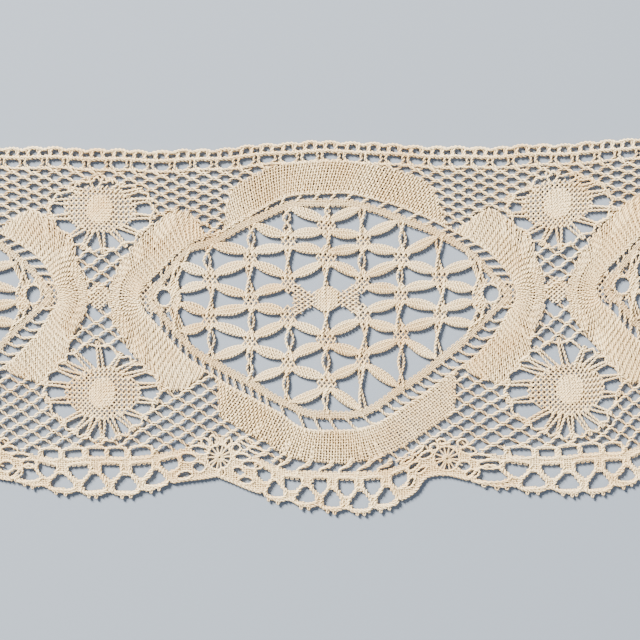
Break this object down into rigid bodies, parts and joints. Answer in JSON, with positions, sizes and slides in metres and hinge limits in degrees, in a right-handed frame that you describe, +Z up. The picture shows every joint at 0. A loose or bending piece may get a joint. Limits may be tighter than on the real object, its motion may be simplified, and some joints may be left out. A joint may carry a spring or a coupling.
{
  "type": "bobbin lace edging",
  "caption": "Straight length of ecru bobbin lace edging with oval medallions, woven cloth trails, net ground and a scalloped edge with picots, lying flat to be sewn along a cloth's edge.",
  "frame": {"origin": "middle of the box's underside, the plane that the lace rests on", "axes": "+X along the edging, +Y across it towards the straight footside, +Z up out of its face"},
  "size_m": [0.1784, 0.1002, 0.001],
  "materials": {
    "lace_thread": "matt ecru cotton thread"
  },
  "bodies": {
    "root": {"lace": "lace_thread"}
  },
  "joints": []
}
